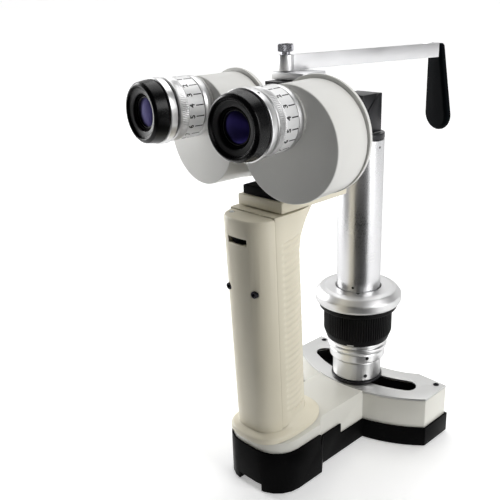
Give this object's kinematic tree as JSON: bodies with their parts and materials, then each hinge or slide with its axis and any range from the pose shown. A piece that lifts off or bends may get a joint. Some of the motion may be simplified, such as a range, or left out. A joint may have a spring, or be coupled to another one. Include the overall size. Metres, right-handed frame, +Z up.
{
  "type": "slit lamp",
  "caption": "Hand-held binocular slit lamp: grip, converging eyepieces on turning drums, a light column on an arc track, a swinging forehead rest and a charging cradle.",
  "frame": {"origin": "on the table under the light column's axis at rest, in the middle of the cradle's arc", "axes": "+X to the examiner's right, +Y from examiner to patient, +Z up"},
  "size_m": [0.1187, 0.1866, 0.2472],
  "materials": {
    "cream_plastic": "fine textured moulding",
    "ivory_paint": "semi-gloss enamel",
    "drum_paint": "semi-gloss enamel",
    "black_plastic": "satin moulding",
    "black_anodised": "black anodised",
    "black_rubber": "matt",
    "brushed_aluminium": "brushed",
    "satin_aluminium": "satin turned",
    "polished_steel": "polished",
    "scale_white": "satin with engraved scale",
    "dark_screw": "blackened",
    "brass": "machined",
    "board_green": "solder mask",
    "battery_wrap": "shrink wrap",
    "coated_glass": "coated lens",
    "clear_glass": "polished lens",
    "mirror_silver": "front surface mirror",
    "green_lens": "translucent",
    "led_yellow": "lens on metal slug"
  },
  "bodies": {
    "cradle": {"cradle_tray": "black_plastic", "anti_slip_mat": "black_rubber", "inlet_socket": "black_plastic", "charging_pin": "brass"},
    "stand": {"base_housing": "ivory_paint", "base_bottom_plate": "black_plastic", "base_contact": "brass", "arc_plate": "brushed_aluminium", "arc_plate_screw_left": "dark_screw", "arc_plate_screw_right": "dark_screw", "arc_track_liner": "black_anodised", "handle_front_shell": "cream_plastic", "handle_rear_cover": "cream_plastic", "handle_foot_collar": "ivory_paint", "cover_screw_left": "dark_screw", "cover_screw_right": "dark_screw", "battery_pack": "battery_wrap", "circuit_board": "board_green", "status_light": "green_lens", "head_slab": "cream_plastic", "mounting_plate": "black_anodised", "microscope_body": "drum_paint", "objective_lens_left": "clear_glass", "objective_lens_right": "clear_glass", "top_plate": "black_anodised", "rest_bracket": "satin_aluminium"},
    "thumbwheel": {"brightness_wheel": "black_plastic"},
    "column": {"slider_block": "brass", "column_foot_ring": "black_anodised", "column_lower_body": "satin_aluminium", "slit_collar": "polished_steel", "index_ring": "polished_steel", "column_tube": "satin_aluminium", "led_module": "led_yellow", "condenser_lens": "clear_glass", "projection_lens": "clear_glass", "tube_cap": "black_anodised", "prism_housing": "black_anodised", "tower_mirror": "mirror_silver"},
    "slit_ring": {"slit_width_ring": "black_rubber"},
    "jaw_left": {"slit_jaw_left": "black_anodised"},
    "jaw_right": {"slit_jaw_right": "black_anodised"},
    "selector": {"selector_flange": "satin_aluminium"},
    "drum_unit_left": {"drum_left": "drum_paint", "prism_left": "clear_glass", "eyepiece_tube_left": "satin_aluminium"},
    "drum_unit_right": {"drum_right": "drum_paint", "prism_right": "clear_glass", "eyepiece_tube_right": "satin_aluminium"},
    "focus_ring_left": {"diopter_ring_left": "scale_white"},
    "focus_ring_right": {"diopter_ring_right": "scale_white"},
    "ocular_left": {"ocular_cell_left": "satin_aluminium", "eyecup_left": "black_plastic", "eye_lens_left": "coated_glass"},
    "ocular_right": {"ocular_cell_right": "satin_aluminium", "eyecup_right": "black_plastic", "eye_lens_right": "coated_glass"},
    "rest_bar": {"forehead_bar": "satin_aluminium"},
    "rest_clamp": {"clamp_screw": "polished_steel"},
    "rest_pad": {"forehead_pad": "black_rubber"}
  },
  "joints": [
    {"name": "lift_from_cradle", "type": "slide", "parent": "cradle", "child": "stand", "axis": [0, 0, 1], "range_m": [0, 0.12]},
    {"name": "brightness_turn", "type": "hinge", "parent": "stand", "child": "thumbwheel", "pos_m": [0, -0.0936, 0.1522], "axis": [0, 0, 1], "range_deg": [-135, 135]},
    {"name": "column_swing", "type": "hinge", "parent": "stand", "child": "column", "pos_m": [0, 0.073, 0.0335], "axis": [0, 0, 1], "range_deg": [-26, 26]},
    {"name": "slit_width_turn", "type": "hinge", "parent": "column", "child": "slit_ring", "pos_m": [0, 0, 0.074], "axis": [0, 0, 1], "range_deg": [0, 150]},
    {"name": "jaw_slide_right", "type": "slide", "parent": "column", "child": "jaw_right", "axis": [1, 0, 0], "range_m": [0, 0.005]},
    {"name": "jaw_slide_left", "type": "slide", "parent": "column", "child": "jaw_left", "axis": [-1, 0, 0], "range_m": [0, 0.005]},
    {"name": "selector_turn", "type": "hinge", "parent": "column", "child": "selector", "pos_m": [0, 0, 0.092], "axis": [0, 0, 1], "range_deg": [-90, 90]},
    {"name": "pd_turn_right", "type": "hinge", "parent": "stand", "child": "drum_unit_right", "pos_m": [0.0313, -0.0967, 0.2048], "axis": [0.1045, -0.9945, 0], "range_deg": [-42, 15]},
    {"name": "pd_turn_left", "type": "hinge", "parent": "stand", "child": "drum_unit_left", "pos_m": [-0.0313, -0.0967, 0.2048], "axis": [-0.1045, -0.9945, 0], "range_deg": [-30, 27]},
    {"name": "diopter_turn_right", "type": "hinge", "parent": "drum_unit_right", "child": "focus_ring_right", "pos_m": [0.02785, -0.09706, 0.21785], "axis": [0.1045, -0.9945, 0], "range_deg": [-50, 150]},
    {"name": "ocular_slide_right", "type": "slide", "parent": "drum_unit_right", "child": "ocular_right", "axis": [0.1045, -0.9945, 0], "range_m": [-0.0007, 0.002]},
    {"name": "diopter_turn_left", "type": "hinge", "parent": "drum_unit_left", "child": "focus_ring_left", "pos_m": [-0.0313, -0.0967, 0.2183], "axis": [-0.1045, -0.9945, 0], "range_deg": [-50, 150]},
    {"name": "ocular_slide_left", "type": "slide", "parent": "drum_unit_left", "child": "ocular_left", "axis": [-0.1045, -0.9945, 0], "range_m": [-0.0007, 0.002]},
    {"name": "rest_swing", "type": "hinge", "parent": "stand", "child": "rest_bar", "pos_m": [-0.0043, -0.0593, 0.2376], "axis": [0, 0, 1], "range_deg": [-70, 100]},
    {"name": "rest_clamp_turn", "type": "hinge", "parent": "rest_bar", "child": "rest_clamp", "pos_m": [-0.0043, -0.0593, 0.2452], "axis": [0, 0, 1], "range_deg": [-180, 180]},
    {"name": "pad_tilt", "type": "hinge", "parent": "rest_bar", "child": "rest_pad", "pos_m": [0.01952, 0.04462, 0.2376], "axis": [0.9632, -0.2689, 0], "range_deg": [-12, 20]}
  ],
  "couplings": [
    {"joint": "jaw_slide_right", "follows": "slit_width_turn", "m_per_rad": 0.001908},
    {"joint": "jaw_slide_left", "follows": "slit_width_turn", "m_per_rad": 0.001908},
    {"joint": "ocular_slide_right", "follows": "diopter_turn_right", "m_per_rad": 0.00076},
    {"joint": "ocular_slide_left", "follows": "diopter_turn_left", "m_per_rad": 0.00076}
  ]
}
